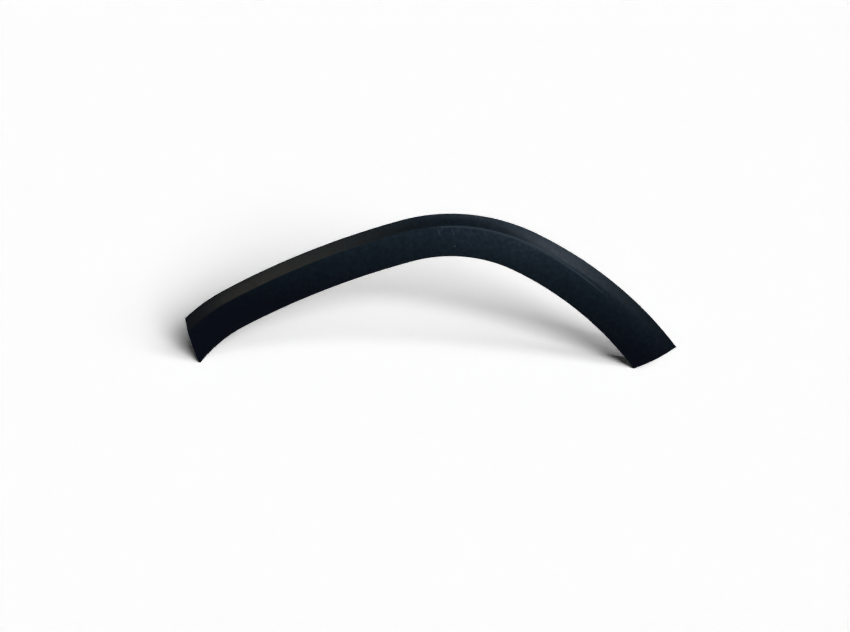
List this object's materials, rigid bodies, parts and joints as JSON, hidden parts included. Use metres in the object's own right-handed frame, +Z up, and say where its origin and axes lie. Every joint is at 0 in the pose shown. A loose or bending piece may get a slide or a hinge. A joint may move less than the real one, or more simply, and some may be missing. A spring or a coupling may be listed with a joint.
{
  "type": "wheel arch trim",
  "caption": "Curved wheel arch trim in grained black plastic: a crowned strip with a fading crease, a coved bevel, a return flange and push-in clips on its ribbed back.",
  "frame": {"origin": "on the floor under the middle of the moulding's box, where it stands on its two ends", "axes": "+X along the car to the right of the show face, +Y inboard, +Z up; the show face looks towards -Y"},
  "size_m": [0.6982, 0.0492, 0.2246],
  "materials": {
    "grained_plastic": "fine mould grain, satin to matt",
    "clip_nylon": "plain moulded, satin"
  },
  "bodies": {
    "root": {"arch_moulding": "grained_plastic", "panel_clips": "clip_nylon"}
  },
  "joints": []
}
